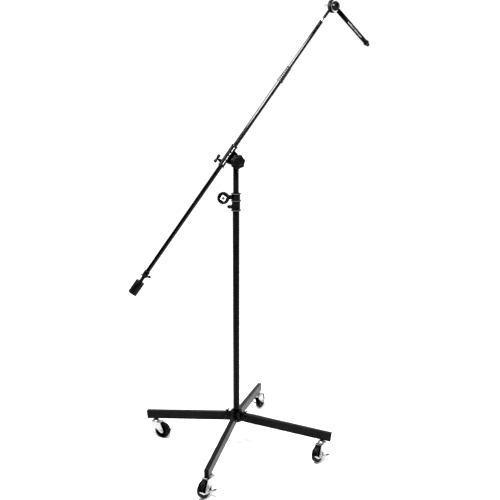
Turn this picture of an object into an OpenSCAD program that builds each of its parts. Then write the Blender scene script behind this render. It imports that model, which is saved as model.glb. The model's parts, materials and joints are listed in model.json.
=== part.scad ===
// Rolling studio boom microphone stand, as an assembly of separate pieces.
// Origin: on the floor under the mast. +Z up. The boom leans up towards +X.
// The clamp knobs face -Y. All sizes in mm, angles in degrees.

/* [Base] */
// Direction of the first leg, seen from above
leg_yaw = -28; // [-44:1:44]
// Length of a leg from the mast axis, along its slope
leg_len = 448; // [420:1:500]
// Slope of the legs down towards their ends
leg_drop = 6.3; // [5:0.1:7]
// Width of the leg tube
leg_w = 20; // [19:0.5:22]
// Height of the leg tube
leg_h = 40; // [38:0.5:44]
// Distance of the caster stem from the mast axis, along the leg
stem_s = 408; // [390:1:409]

/* [Casters] */
// Diameter of the caster wheels
wheel_d = 76; // [74:0.5:76]
// Width of the caster wheels
wheel_w = 25; // [21:0.5:25]
// Trail of a wheel behind its swivel
trail = 36; // [35.5:0.5:36.5]
// Direction the first caster trails in
caster_turn_1 = -138; // [-180:1:180]
// Direction the second caster trails in
caster_turn_2 = 54; // [-180:1:180]
// Direction the third caster trails in
caster_turn_3 = -36; // [-180:1:180]
// Direction the fourth caster trails in
caster_turn_4 = -138; // [-180:1:180]

/* [Mast] */
// Outside diameter of the lower mast tube
lower_d = 30; // [29.5:0.1:31]
// Outside diameter of the upper mast tube
upper_d = 25; // [24:0.1:25.5]
// Height of the lower edge of the height clamp
collar_z = 1124; // [1000:1:1140]
// Height of the boom pivot
pivot_z = 1340; // [1330:1:1500]
// Turn of the height clamp about the mast
collar_yaw = -12; // [-40:1:10]

/* [Boom] */
// Angle of the boom above level
boom_angle = 54; // [0:1:66]
// Outside diameter of the outer boom tube
outer_d = 19; // [18.6:0.1:19.4]
// Outside diameter of the inner boom tube
inner_d = 16; // [15.6:0.1:16.2]
// Distance from the pivot to the low end of the outer tube
boom_back = 612; // [400:1:700]
// Distance from the pivot to the high end of the outer tube
boom_front = 385; // [300:1:450]
// How far the inner tube stands out of the twist grip
inner_out = 232; // [60:1:300]
// Length of the counterweight
weight_len = 67; // [50:1:100]
// Diameter of the counterweight
weight_d = 40; // [36:1:50]

/* [Upper arm] */
// Turn of the upper arm's plane about the vertical
clutch_yaw = 33; // [20:1:40]
// Rise of the shank between the boom and the clutch
shank_rise = 42.6; // [30:0.1:50]
// Slope of the upper arm below level
arm_drop = 29.5; // [0:0.5:60]
// Length of the upper arm from the clutch to its end collar
arm_len = 276; // [250:1:300]

/* [Hidden] */
$fn = 48;
wall = 1.5;
gap = 0.05;
hub_z = 94 + stem_s * sin(leg_drop) + leg_h / 2 * cos(leg_drop);
stem_r = stem_s * cos(leg_drop) - leg_h / 2 * sin(leg_drop);
lower_r = lower_d / 2;
upper_r = upper_d / 2;
outer_r = outer_d / 2;
inner_r = inner_d / 2;
wheel_r = wheel_d / 2;
axle_r = 4;
axle_z = wheel_r;
cheek_in = 14;
cheek_out = 16.5;
leg_start = 36;
collar_top = collar_z + 78;
step_z = collar_z + 41;
ear_z = collar_z + 60.5;
knob_x = -54.5;
pin_z = collar_z + 18;
head_z = pivot_z - 28;
rivet_x = trail + 10;
rivet_z = wheel_r - 8.5;
foot_z = 440;
boom_y = -15;
boom_n = 45;
grip_t = boom_front - 9;
inner_end = grip_t + 74 + inner_out + 9;
bend_t = inner_end + 11;
shank_len = 70;
bend_x = bend_t * cos(boom_angle) - boom_n * sin(boom_angle);
bend_z = pivot_z + bend_t * sin(boom_angle) + boom_n * cos(boom_angle);
half_y = 6;
clutch_x = bend_x + shank_len * cos(shank_rise) * cos(clutch_yaw) + half_y * sin(clutch_yaw);
clutch_y = boom_y + shank_len * cos(shank_rise) * sin(clutch_yaw) - half_y * cos(clutch_yaw);
clutch_z = bend_z + shank_len * sin(shank_rise);
screw_r = 4;
arm_y = -4.6;
arm_r = 10;
strip_turn = 39;
stud_r = 7.94;
black = [0.06, 0.06, 0.065];
dark = [0.12, 0.12, 0.13];
grey = [0.35, 0.35, 0.36];
bright = [0.8, 0.8, 0.82];
pale = [0.85, 0.85, 0.84];

// Frames

// Frame of a leg: +X outwards along the leg, +Z square to its top
module at_leg(i) {
  rotate([0, 0, leg_yaw + 90 * i])
    translate([0, 0, hub_z])
      rotate([0, leg_drop, 0])
        children();
}

// Frame of a caster: on the floor under the swivel, +X the way it trails
module at_caster(i) {
  turns = [caster_turn_1, caster_turn_2, caster_turn_3, caster_turn_4];
  rotate([0, 0, leg_yaw + 90 * i])
    translate([stem_r, 0, 0])
      rotate([0, 0, turns[i] - leg_yaw - 90 * i])
        children();
}

// Frame of the boom: origin at the pivot, +X up the boom, +Z square to it
module in_boom() {
  translate([0, 0, pivot_z])
    rotate([0, -boom_angle, 0])
      children();
}

// +Z up the boom's own axis, starting at distance t from the pivot
module on_boom(t) {
  in_boom()
    translate([t, boom_y, boom_n])
      rotate([0, 90, 0])
        children();
}

// Frame of the clutch: -Y is the clutch's axis, towards its dome
module at_clutch() {
  translate([clutch_x, clutch_y, clutch_z])
    rotate([0, 0, clutch_yaw])
      children();
}

// Frame of the upper arm: +X along the arm
module at_arm() {
  at_clutch()
    rotate([0, arm_drop, 0])
      children();
}

// Frame of the arm's strip: +X along the middle of the arm's tube, -Y out through the strip
module on_strip_side() {
  at_arm()
    translate([0, arm_y, 0])
      rotate([strip_turn, 0, 0])
        children();
}

// Shapes

module tube(r_out, r_in, h) {
  difference() {
    cylinder(r = r_out, h = h);
    translate([0, 0, -1])
      cylinder(r = r_in, h = h + 2);
  }
}

// Rectangle with true round corners
module round_rect(w, h, r) {
  square([w - 2 * r, h], center = true);
  square([w, h - 2 * r], center = true);
  for (x = [-1, 1])
    for (y = [-1, 1])
      translate([x * (w / 2 - r), y * (h / 2 - r)])
        circle(r = r, $fn = 24);
}

// Cylinder along +Y from y0 to y1
module along_y(r, y0, y1) {
  translate([0, y0, 0])
    rotate([-90, 0, 0])
      cylinder(r = r, h = y1 - y0);
}

// Hexagon along +Y from y0 to y1
module hex_y(r, y0, y1) {
  translate([0, y0, 0])
    rotate([-90, 0, 0])
      cylinder(r = r, h = y1 - y0, $fn = 6);
}

// Base

module hub() {
  color(black)
    difference() {
      union() {
        translate([0, 0, hub_z - 26])
          rotate_extrude()
            polygon([[0, 0], [24.5, 0], [26.75, 2], [26.75, 51], [25.2, 53.5], [0, 53.5]]);
        for (i = [0:3])
          at_leg(i) {
            translate([17, -leg_w / 2 + 0.3, -leg_h / 2 + 0.3])
              cube([18.5, leg_w - 0.6, leg_h - 0.6]);
            translate([30, -leg_w / 2 + wall + 0.1, -leg_h / 2 + wall + 0.1])
              cube([54, leg_w - 2 * wall - 0.2, leg_h - 2 * wall - 0.2]);
          }
      }
      translate([0, 0, hub_z - 18])
        cylinder(r = lower_r + 0.02, h = 80);
      for (i = [0:3])
        at_leg(i) {
          translate([46, 0, 0])
            along_y(3.02, -20, 20);
          translate([41, 0, leg_h / 2 - 9.5])
            cylinder(r = 3.05, h = 12);
        }
    }
}

module leg(i) {
  color(black)
    at_leg(i)
      difference() {
        translate([leg_start, 0, 0])
          rotate([90, 0, 90])
            linear_extrude(leg_len - 2.5 - leg_start)
              difference() {
                round_rect(leg_w, leg_h, 2);
                square([leg_w - 2 * wall, leg_h - 2 * wall], center = true);
              }
        translate([46, 0, 0])
          along_y(3.1, -20, 20);
        translate([41, 0, 10])
          cylinder(r = 3.1, h = 20);
        translate([stem_s, 0, -leg_h / 2])
          rotate([0, -leg_drop, 0])
            translate([0, 0, -6])
              cylinder(r = 6.1, h = 12);
      }
}

module leg_caps() {
  color(black)
    for (i = [0:3])
      at_leg(i) {
        translate([leg_len - 2.45, 0, 0])
          rotate([90, 0, 90])
            linear_extrude(2.45)
              round_rect(leg_w, leg_h, 2);
        translate([leg_len - 14.4, -leg_w / 2 + wall + 0.1, -leg_h / 2 + wall + 0.1])
          cube([12, leg_w - 2 * wall - 0.2, leg_h - 2 * wall - 0.2]);
      }
}

module leg_bolts() {
  color(dark)
    for (i = [0:3])
      at_leg(i)
        translate([46, 0, 0]) {
          along_y(3, -leg_w / 2 - 4, leg_w / 2 + 4);
          hex_y(5.8, -leg_w / 2 - 4.1, -leg_w / 2 - 0.05);
          hex_y(5.8, leg_w / 2 + 0.05, leg_w / 2 + 4.1);
        }
}

// Stem, nut, fixed race and rivet head of every caster
module caster_stems() {
  color(bright)
    for (i = [0:3])
      at_caster(i) {
        translate([0, 0, 70])
          cylinder(r = 5.5, h = 48);
        translate([0, 0, 86])
          cylinder(r = 10, h = 6.6, $fn = 6);
        translate([0, 0, 81])
          cylinder(r = 17, h = 5.1);
        translate([0, 0, 69])
          cylinder(r = 8, h = 4);
      }
}

module thumb_bolt(i) {
  color(dark)
    at_leg(i)
      translate([41, 0, leg_h / 2]) {
        translate([0, 0, -9])
          cylinder(r = 3, h = 12);
        translate([0, 0, 0.1])
          cylinder(r = 4.6, h = 1.4);
        translate([0, 0, 1.4])
          cylinder(r1 = 4.6, r2 = 3.6, h = 7);
        rotate([0, 0, 40])
          translate([0, 1.1, 1.4])
            rotate([90, 0, 0])
              linear_extrude(2.2) {
                polygon([[-3, 1], [3, 1], [7.5, 8], [9.5, 14], [5.5, 14.5], [3, 8], [-3, 8], [-5.5, 14.5], [-9.5, 14], [-7.5, 8]]);
              }
      }
}

// Casters

module cheek_shape() {
  translate([trail, axle_z])
    circle(r = 10.5);
  polygon([[-17, 79.5], [-17, 66], [trail - 8.5, axle_z - 6], [trail, axle_z - 10.5], [trail + 10, axle_z + 3],
           [33, 72], [32, 79.5]]);
}

// The cheek beside the brake has a lobe for its rivet
module lobed_cheek() {
  cheek_shape();
  translate([rivet_x, rivet_z])
    circle(r = 6);
}

module fork(i) {
  color(bright)
    at_caster(i)
      difference() {
        union() {
          translate([0, -cheek_in, 0])
            rotate([90, 0, 0])
              linear_extrude(cheek_out - cheek_in)
                cheek_shape();
          translate([0, cheek_out, 0])
            rotate([90, 0, 0])
              linear_extrude(cheek_out - cheek_in)
                lobed_cheek();
          translate([-17, -cheek_out, 77])
            cube([49, 2 * cheek_out, 2.5]);
          translate([0, 0, 74])
            cylinder(r = 15, h = 3.2);
          translate([0, 0, 79.4])
            cylinder(r = 18.5, h = 1.5);
          translate([rivet_x, 0, rivet_z]) {
            along_y(2.5, 15, 20);
            along_y(4, 19.2, 20.4);
          }
        }
        translate([0, 0, 60])
          cylinder(r = 5.55, h = 40);
        translate([trail, 0, axle_z])
          along_y(axle_r + 0.03, -30, 30);
      }
}

module axle(i) {
  color(bright)
    at_caster(i)
      translate([trail, 0, axle_z]) {
        along_y(axle_r, -cheek_out - 5.4, cheek_out + 5.4);
        hex_y(6.6, -cheek_out - 4.1, -cheek_out - 0.05);
        hex_y(6.6, cheek_out + 0.05, cheek_out + 4.1);
      }
}

module wheel(i) {
  hw = wheel_w / 2;
  color(dark)
    at_caster(i)
      translate([trail, 0, axle_z])
        rotate([90, 0, 0])
          rotate_extrude($fn = 96)
            polygon([[axle_r + gap, -13.6], [10, -13.6], [11, -7], [wheel_r - 14, -7], [wheel_r - 12, -hw + 0.4],
                     [wheel_r - 5, -hw], [wheel_r - 1.8, -hw + 1.6], [wheel_r - 0.4, -hw + 4.5], [wheel_r, -hw + 9],
                     [wheel_r, hw - 9], [wheel_r - 0.4, hw - 4.5], [wheel_r - 1.8, hw - 1.6], [wheel_r - 5, hw],
                     [wheel_r - 12, hw - 0.4], [wheel_r - 14, 7], [11, 7], [10, 13.6], [axle_r + gap, 13.6]]);
}

// Lever beside the wheel: its shoe end at the back, its foot end under the swivel
module brake_arm_shape() {
  circle(r = 5.5);
  polygon([[31.5, 10.5], [31.5, 19.5], [28.5, 19.5], [15, 7.5], [4, 3.5], [-4, 0.2], [-20, -1.2], [-37, 2],
           [-37, -5.5], [-20, -9], [0, -7.2], [19, -0.5]]);
}

module brake(i) {
  color(bright)
    at_caster(i)
      translate([rivet_x, 0, rivet_z]) {
        translate([0, 19, 0])
          rotate([90, 0, 0])
            linear_extrude(2)
              difference() {
                brake_arm_shape();
                circle(r = 2.55);
              }
        translate([29, 8, 10.5])
          cube([2.5, 10.5, 7]);
        translate([-37, 17.9, -5])
          rotate([25, 0, 0])
            cube([11, 30, 2]);
      }
}

// Mast

module lower_mast() {
  color(black)
    difference() {
      translate([0, 0, hub_z - 18])
        tube(lower_r, lower_r - wall, step_z - hub_z + 18 - 0.05);
      rotate([0, 0, collar_yaw])
        translate([-lower_r, 0, pin_z])
          rotate([0, 90, 0])
            cylinder(r = 3.2, h = 8, center = true);
    }
}

module height_collar() {
  color(black)
    rotate([0, 0, collar_yaw])
      difference() {
        union() {
          translate([0, 0, collar_z])
            rotate_extrude()
              polygon([[0, 0], [20.8, 0], [21.5, 0.8], [21.5, 5], [18.5, 6.2], [18.5, 41.5], [21.5, 42.6], [21.5, 47.4],
                       [18.5, 48.6], [18.5, 72.6], [21.5, 73.6], [21.5, 77.2], [20.8, 78], [0, 78]]);
          translate([-66, -11, ear_z - 8.5])
            cube([50, 22, 17]);
          translate([knob_x, 0, ear_z])
            along_y(8.5, 10, 14);
          translate([-23, 0, pin_z])
            rotate([0, 90, 0])
              cylinder(r = 9, h = 8);
        }
        translate([0, 0, collar_z - 1])
          cylinder(r = lower_r + 0.02, h = step_z - collar_z + 1);
        translate([0, 0, collar_z])
          cylinder(r = upper_r + gap, h = 80);
        translate([-80, -1, step_z + 7])
          cube([70, 2, 60]);
        translate([knob_x, 0, ear_z])
          along_y(screw_r + gap, -20, 20);
        translate([-30, 0, pin_z])
          rotate([0, 90, 0])
            cylinder(r = 3 + gap, h = 20);
      }
}

module height_knob() {
  color(black)
    rotate([0, 0, collar_yaw])
      translate([knob_x, 0, ear_z])
        difference() {
          union() {
            along_y(screw_r, -14, 15.5);
            rotate([90, 0, 0])
              rotate_extrude()
                polygon([[0, 11.3], [12, 11.3], [13, 15.5], [24.6, 16], [26.5, 18.5], [26.5, 32], [25.6, 34.6], [23, 36.2], [18.5, 36.2], [17.5, 35.2], [0, 35.2]]);
          }
          translate([0, -35.6, 0])
            rotate([0, 30, 0])
              cube([21.4, 2, 21.4], center = true);
        }
}

module knob_label() {
  color(pale)
    rotate([0, 0, collar_yaw])
      translate([knob_x, -34.85, ear_z])
        rotate([0, 30, 0])
          cube([21, 0.45, 21], center = true);
}

module safety_pin() {
  color(dark)
    rotate([0, 0, collar_yaw])
      translate([0, 0, pin_z])
        rotate([0, -90, 0]) {
          translate([0, 0, upper_r + 0.3])
            cylinder(r = 3, h = 14);
          translate([0, 0, 23.3])
            cylinder(r1 = 7, r2 = 8, h = 2);
          translate([0, 0, 25.3])
            cylinder(r = 8, h = 7);
          translate([0, 0, 32.3])
            cylinder(r1 = 8, r2 = 3, h = 7);
        }
}

module upper_mast() {
  color(black)
    translate([0, 0, foot_z])
      tube(upper_r, upper_r - wall, head_z - foot_z - 0.3);
}

module mast_foot() {
  color(dark)
    translate([0, 0, foot_z - 15]) {
      cylinder(r = lower_r - wall - gap, h = 14.95);
      cylinder(r = upper_r - wall - 0.05, h = 35);
    }
}

// Mast head and boom clamp

module mast_head() {
  color(black)
    difference() {
      union() {
        translate([0, 0, head_z - 34])
          cylinder(r = upper_r - wall - gap, h = 36);
        translate([0, 0, head_z])
          cylinder(r = upper_r, h = 2.6);
        translate([-11, -8, head_z + 1])
          cube([22, 17, 14]);
        translate([0, 0, pivot_z])
          along_y(24, -8, 9);
      }
      translate([0, 0, pivot_z])
        along_y(5.05, -20, 20);
    }
}

module pivot_bolt() {
  color(grey)
    translate([0, 0, pivot_z]) {
      along_y(5, -39, 12);
      hex_y(9, 9.05, 14);
    }
}

module head_washer() {
  color(grey)
    translate([0, -8.05, pivot_z])
      rotate([90, 0, 0])
        tube(22, 5.1, 1.4);
}

module boom_clamp() {
  color(black)
    difference() {
      union() {
        on_boom(-56)
          cylinder(r = 13, h = 106);
        on_boom(-56)
          cylinder(r = 14.5, h = 6);
        on_boom(44)
          cylinder(r = 14.5, h = 6);
        in_boom()
          translate([-50, -29, boom_n - 9])
            cube([94, 14, 18]);
        in_boom()
          translate([0, -9.6, 0])
            rotate([90, 0, 0])
              linear_extrude(12.2) {
                circle(r = 25);
                polygon([[-24.4, 5], [24.4, 5], [32, 38], [-32, 38]]);
              }
        in_boom()
          translate([-38, boom_y, boom_n])
            cylinder(r = 7.5, h = 17.5);
      }
      on_boom(-80)
        cylinder(r = outer_r + gap, h = 160);
      in_boom()
        along_y(5.05, -40, 20);
      in_boom()
        translate([-38, boom_y, boom_n + 5])
          cylinder(r = 3.55, h = 20);
      in_boom()
        translate([-49, -30, boom_n - 3.6])
          cube([92, 1.8, 7.2]);
    }
}

module lock_washer() {
  color(grey)
    translate([0, -22, pivot_z])
      rotate([90, 0, 0])
        tube(27, 5.1, 1.8);
}

module clamp_strip() {
  color(pale)
    in_boom()
      translate([-48, -28.8, boom_n - 3.2])
        cube([90, 0.55, 6.4]);
}

module pivot_knob() {
  color(black)
    translate([0, -24, pivot_z])
      rotate([90, 0, 0])
        difference() {
          union() {
            cylinder(r = 14, h = 5);
            translate([0, 0, 3])
              linear_extrude(18) {
                circle(r = 28.7);
                for (i = [0:6])
                  rotate([0, 0, i * 360 / 7 + 12])
                    translate([23.4, 0])
                      circle(r = 9);
              }
            translate([0, 0, 20])
              cylinder(r1 = 22, r2 = 18, h = 4.5);
          }
          translate([0, 0, -1])
            cylinder(r = 5.05, h = 17);
        }
}

module t_screw() {
  color(dark)
    in_boom()
      translate([-38, boom_y, boom_n]) {
        translate([0, 0, outer_r + 0.15])
          cylinder(r = 3.5, h = 22);
        translate([0, 0, 18])
          cylinder(r = 6, h = 5);
        translate([-19, 0, 32])
          rotate([0, 90, 0])
            rotate_extrude()
              polygon([[0, 0], [5.4, 0], [6.8, 2.2], [6.6, 10], [4.2, 19], [6.6, 28], [6.8, 35.8], [5.4, 38], [0, 38]]);
        translate([0, 0, 22])
          cylinder(r = 4, h = 10);
      }
}

// Boom

module outer_boom() {
  color(black)
    on_boom(-boom_back)
      tube(outer_r, outer_r - 1.2, boom_back + boom_front);
}

module boom_end() {
  color(black)
    difference() {
      on_boom(-boom_back - 20)
        rotate_extrude()
          polygon([[0, 0], [11, 0], [12.5, 1.5], [12.5, 28], [11, 30], [0, 30]]);
      on_boom(-boom_back)
        cylinder(r = outer_r + 0.02, h = 20);
      on_boom(-boom_back - 30)
        cylinder(r = inner_r + gap, h = 40);
      in_boom()
        translate([-boom_back - 9, boom_y, boom_n])
          along_y(3.05, -30, 0);
    }
}

module twist_grip() {
  color(dark)
    on_boom(grip_t)
      difference() {
        rotate_extrude()
          polygon([[0, 0], [12.8, 0], [13.6, 1], [13.6, 7], [12.2, 8.4], [12.2, 10], [11.6, 40], [10.4, 70], [9.6, 74], [0, 74]]);
        translate([0, 0, -1])
          cylinder(r = outer_r + gap, h = 10.5);
        translate([0, 0, 5])
          cylinder(r = inner_r + gap, h = 80);
      }
}

module inner_boom() {
  color(black)
    on_boom(grip_t - 286)
      tube(inner_r, inner_r - 1, inner_end - grip_t + 286);
}

module boom_foot() {
  color(dark)
    on_boom(grip_t - 298) {
      cylinder(r = outer_r - 1.2 - gap, h = 11.95);
      cylinder(r = inner_r - 1.05, h = 30);
    }
}

module ferrule() {
  color(bright)
    on_boom(inner_end - 9)
      difference() {
        rotate_extrude()
          polygon([[0, 0], [9.6, 0], [10.2, 0.8], [10.2, 10.5], [8.5, 14], [0, 14]]);
        translate([0, 0, -1])
          cylinder(r = inner_r + 0.02, h = 10.05);
        cylinder(r = 4.05, h = 20);
      }
}

module weight_neck() {
  color(dark)
    on_boom(-boom_back - 43 - 38)
      cylinder(r = inner_r, h = 190);
}

module counterweight() {
  color(black)
    on_boom(-boom_back - 43 - weight_len)
      difference() {
        rotate_extrude()
          polygon([[0, 0], [weight_d / 2 - 1.6, 0], [weight_d / 2, 1.6], [weight_d / 2, weight_len - 1.6],
                   [weight_d / 2 - 1.6, weight_len], [0, weight_len]]);
        translate([0, 0, weight_len - 38.05])
          cylinder(r = inner_r + 0.02, h = 50);
      }
}

module wing_screw() {
  color(dark)
    in_boom()
      translate([-boom_back - 9, boom_y, boom_n]) {
        along_y(3, -28, -inner_r - 0.15);
        along_y(5.5, -26, -12.7);
        rotate([0, boom_angle + 15, 0])
          translate([0, -18, 0])
            rotate([90, 0, 0])
              linear_extrude(10) {
                polygon([[-4, -3.2], [4, -3.2], [13, -5], [19, -5.5], [22.5, -1.5], [21, 3.5], [15, 4], [9, 1.6], [4, 3.2],
                         [-4, 3.2], [-9, 2.4], [-20, 4.2], [-22.5, 3], [-12, -1.6]]);
              }
      }
}

// Clutch and upper arm

module clutch_back() {
  color(black)
    difference() {
      union() {
        at_clutch()
          rotate([-90, 0, 0])
            rotate_extrude()
              polygon([[0, 0.2], [27, 0.2], [27, 9.5], [24.5, 12], [0, 12]]);
        at_clutch()
          translate([0, half_y, 0])
            rotate([0, -90 - shank_rise, 0])
              translate([0, 0, 10])
                cylinder(r = 5.9, h = shank_len - 10);
        on_boom(bend_t)
          sphere(r = 6.15);
        on_boom(inner_end + 5.05)
          cylinder(r = 5.9, h = bend_t - inner_end - 5.05);
        on_boom(inner_end + 0.4)
          cylinder(r = 4, h = 8);
      }
      at_clutch()
        along_y(screw_r + gap, -5, 30);
    }
}

module tension_knob() {
  color(bright)
    at_clutch() {
      along_y(screw_r, -6.5, 30);
      rotate([-90, 0, 0])
        rotate_extrude()
          polygon([[0, 12.2], [7, 12.2], [7, 20], [11, 20.5], [12, 22], [12, 41], [10, 43.5], [0, 44]]);
    }
}

module upper_arm() {
  color(black)
    difference() {
      union() {
        at_clutch()
          along_y(26, -9, -0.2);
        at_arm()
          translate([0, -8.6, -9.4])
            cube([36, 8, 18.8]);
        at_arm()
          translate([31, arm_y, 0])
            rotate([0, 90, 0])
              rotate_extrude()
                polygon([[0, 0], [8, 0], [arm_r, 3], [arm_r, arm_len - 34], [arm_r - 1, arm_len - 31], [0, arm_len - 31]]);
      }
      at_clutch()
        along_y(screw_r + gap, -7, 5);
      on_strip_side()
        translate([107, -20, -8])
          cube([122, 20 - arm_r + 1, 16]);
      at_arm()
        translate([arm_len - 16, arm_y, 0])
          rotate([0, 90, 0])
            cylinder(r = 7.02, h = 20);
    }
}

module trim_ring() {
  color(bright)
    at_clutch()
      translate([0, -9.05, 0])
        rotate([90, 0, 0])
          tube(25, 20.7, 1.1);
}

module dome_cap() {
  color(black)
    at_clutch()
      translate([0, -9.05, 0])
        intersection() {
          sphere(r = 20.5);
          along_y(25, -25, 0);
        }
}

module arm_strip() {
  color(pale)
    on_strip_side()
      translate([108, 0.2 - arm_r, -3])
        cube([120, 0.75, 6]);
}

module mic_stud() {
  color(grey)
    at_arm()
      translate([arm_len - 14, arm_y, 0])
        rotate([0, 90, 0]) {
          cylinder(r = 7, h = 14);
          translate([0, 0, 14.05])
            cylinder(r = 13, h = 8);
          cylinder(r = 6.8, h = 20);
          translate([0, 0, 22])
            cylinder(r = stud_r, h = 14);
        }
}

// Nodes

hub();
leg(0);  // leg_1
leg(1);  // leg_2
leg(2);  // leg_3
leg(3);  // leg_4
leg_caps();
leg_bolts();
caster_stems();
thumb_bolt(0);  // thumb_bolt_1
thumb_bolt(1);  // thumb_bolt_2
thumb_bolt(2);  // thumb_bolt_3
thumb_bolt(3);  // thumb_bolt_4
fork(0);  // fork_1
fork(1);  // fork_2
fork(2);  // fork_3
fork(3);  // fork_4
axle(0);  // axle_1
axle(1);  // axle_2
axle(2);  // axle_3
axle(3);  // axle_4
wheel(0);  // wheel_1
wheel(1);  // wheel_2
wheel(2);  // wheel_3
wheel(3);  // wheel_4
brake(0);  // brake_1
brake(1);  // brake_2
brake(2);  // brake_3
brake(3);  // brake_4
lower_mast();
height_collar();
height_knob();
knob_label();
safety_pin();
upper_mast();
mast_foot();
mast_head();
pivot_bolt();
head_washer();
boom_clamp();
lock_washer();
clamp_strip();
pivot_knob();
t_screw();
outer_boom();
boom_end();
twist_grip();
inner_boom();
boom_foot();
ferrule();
weight_neck();
counterweight();
wing_screw();
clutch_back();
tension_knob();
upper_arm();
trim_ring();
dome_cap();
arm_strip();
mic_stud();
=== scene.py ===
import json
import math

import bmesh
import bpy
from mathutils import Matrix, Vector


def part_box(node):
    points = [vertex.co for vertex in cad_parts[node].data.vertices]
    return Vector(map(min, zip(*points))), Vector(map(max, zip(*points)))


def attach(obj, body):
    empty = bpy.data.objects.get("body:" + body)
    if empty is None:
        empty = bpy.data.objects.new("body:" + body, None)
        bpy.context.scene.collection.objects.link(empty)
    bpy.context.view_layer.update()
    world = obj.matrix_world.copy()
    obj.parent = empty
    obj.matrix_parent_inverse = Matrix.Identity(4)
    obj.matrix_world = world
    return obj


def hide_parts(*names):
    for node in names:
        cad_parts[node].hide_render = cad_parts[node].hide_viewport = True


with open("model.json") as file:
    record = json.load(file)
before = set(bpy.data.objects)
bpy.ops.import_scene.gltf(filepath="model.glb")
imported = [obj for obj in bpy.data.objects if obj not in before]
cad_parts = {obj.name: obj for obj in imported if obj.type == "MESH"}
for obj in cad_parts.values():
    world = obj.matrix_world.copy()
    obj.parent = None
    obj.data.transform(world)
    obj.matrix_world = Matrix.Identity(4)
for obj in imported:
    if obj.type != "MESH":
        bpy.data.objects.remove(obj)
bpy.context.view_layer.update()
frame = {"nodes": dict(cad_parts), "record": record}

MM = 0.001
TAU = 2 * math.pi
JOINTS = {j["name"]: j for j in frame["record"]["behaviour"]["joints"]}
MOUNTS = {m["name"]: m for m in frame["record"]["mounts"]}
UP = Vector((0, 0, 1))
FRONT = Vector((0, -1, 0))


def joint_pos(name):
    return Vector(JOINTS[name]["pos_m"])


def joint_axis(name):
    return Vector(JOINTS[name]["axis"]).normalized()


def basis(origin, z, x_near):
    """A frame at origin whose +Z is z and whose +X is as near x_near as it can be."""
    z = z.normalized()
    x = (x_near - z * x_near.dot(z)).normalized()
    y = z.cross(x)
    m = Matrix((x, y, z)).transposed().to_4x4()
    return Matrix.Translation(origin) @ m


# ---------------------------------------------------------------- camera, floor, light

# Where the photographer stood, in metres, and how the camera was turned.
CAMERA_AT = Vector((-0.6237, -2.9344, 1.6457))
CAMERA_HEADING = math.radians(76.83)
CAMERA_PITCH = math.radians(13.07)
CAMERA_ROLL = math.radians(0.16)
CAMERA_LENS = 50.31
CAMERA_SENSOR = 36

cam_data = bpy.data.cameras.new("camera")
cam_data.sensor_width = CAMERA_SENSOR
cam_data.lens = CAMERA_LENS
cam_data.clip_start = 0.05
cam_data.clip_end = 400
cam = bpy.data.objects.new("camera", cam_data)
bpy.context.scene.collection.objects.link(cam)
forward = Vector((
    math.cos(CAMERA_HEADING) * math.cos(CAMERA_PITCH),
    math.sin(CAMERA_HEADING) * math.cos(CAMERA_PITCH),
    -math.sin(CAMERA_PITCH),
))
turn = forward.to_track_quat("-Z", "Y").to_matrix().to_4x4()
cam.matrix_world = Matrix.Translation(CAMERA_AT) @ turn @ Matrix.Rotation(CAMERA_ROLL, 4, "Z")
bpy.context.scene.camera = cam


def nodes_of(tree):
    """Empties a node tree, and gives its nodes and links."""
    tree.nodes.clear()
    return tree.nodes, tree.links


def make_world():
    """A pale studio: brighter behind the object than behind the camera."""
    world = bpy.data.worlds.new("studio")
    world.use_nodes = True
    nodes, links = nodes_of(world.node_tree)
    out = nodes.new("ShaderNodeOutputWorld")
    coord = nodes.new("ShaderNodeTexCoord")
    dot = nodes.new("ShaderNodeVectorMath")
    dot.operation = "DOT_PRODUCT"
    dot.inputs[1].default_value = (math.cos(CAMERA_HEADING), math.sin(CAMERA_HEADING), 0.35)
    links.new(coord.outputs["Generated"], dot.inputs[0])
    ramp = nodes.new("ShaderNodeMapRange")
    ramp.interpolation_type = "SMOOTHSTEP"
    ramp.inputs["From Min"].default_value = -0.55
    ramp.inputs["From Max"].default_value = 0.65
    ramp.inputs["To Min"].default_value = 0.06
    ramp.inputs["To Max"].default_value = 0.80
    links.new(dot.outputs["Value"], ramp.inputs["Value"])
    lit = nodes.new("ShaderNodeBackground")
    lit.inputs["Color"].default_value = (1, 1, 1, 1)
    links.new(ramp.outputs["Result"], lit.inputs["Strength"])
    seen = nodes.new("ShaderNodeBackground")
    seen.inputs["Color"].default_value = (1, 1, 1, 1)
    seen.inputs["Strength"].default_value = 1.0
    path = nodes.new("ShaderNodeLightPath")
    mix = nodes.new("ShaderNodeMixShader")
    links.new(path.outputs["Is Camera Ray"], mix.inputs["Fac"])
    links.new(lit.outputs["Background"], mix.inputs[1])
    links.new(seen.outputs["Background"], mix.inputs[2])
    links.new(mix.outputs["Shader"], out.inputs["Surface"])
    bpy.context.scene.world = world


def make_area(name, at, look, wide, width, height, power):
    """A soft rectangular light whose width lies as near the direction wide as it can."""
    data = bpy.data.lights.new(name, "AREA")
    data.shape = "RECTANGLE"
    data.size, data.size_y = width, height
    data.energy = power
    lamp = bpy.data.objects.new(name, data)
    bpy.context.scene.collection.objects.link(lamp)
    lamp.matrix_world = basis(Vector(at), Vector(at) - Vector(look), Vector(wide))
    lamp.visible_camera = False


def make_sun(name, toward, strength, angle):
    """A sun in the direction toward, seen as angle degrees wide."""
    data = bpy.data.lights.new(name, "SUN")
    data.energy = strength
    data.angle = math.radians(angle)
    lamp = bpy.data.objects.new(name, data)
    bpy.context.scene.collection.objects.link(lamp)
    lamp.rotation_mode = "QUATERNION"
    lamp.rotation_quaternion = (-Vector(toward)).to_track_quat("-Z", "Y")


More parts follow.
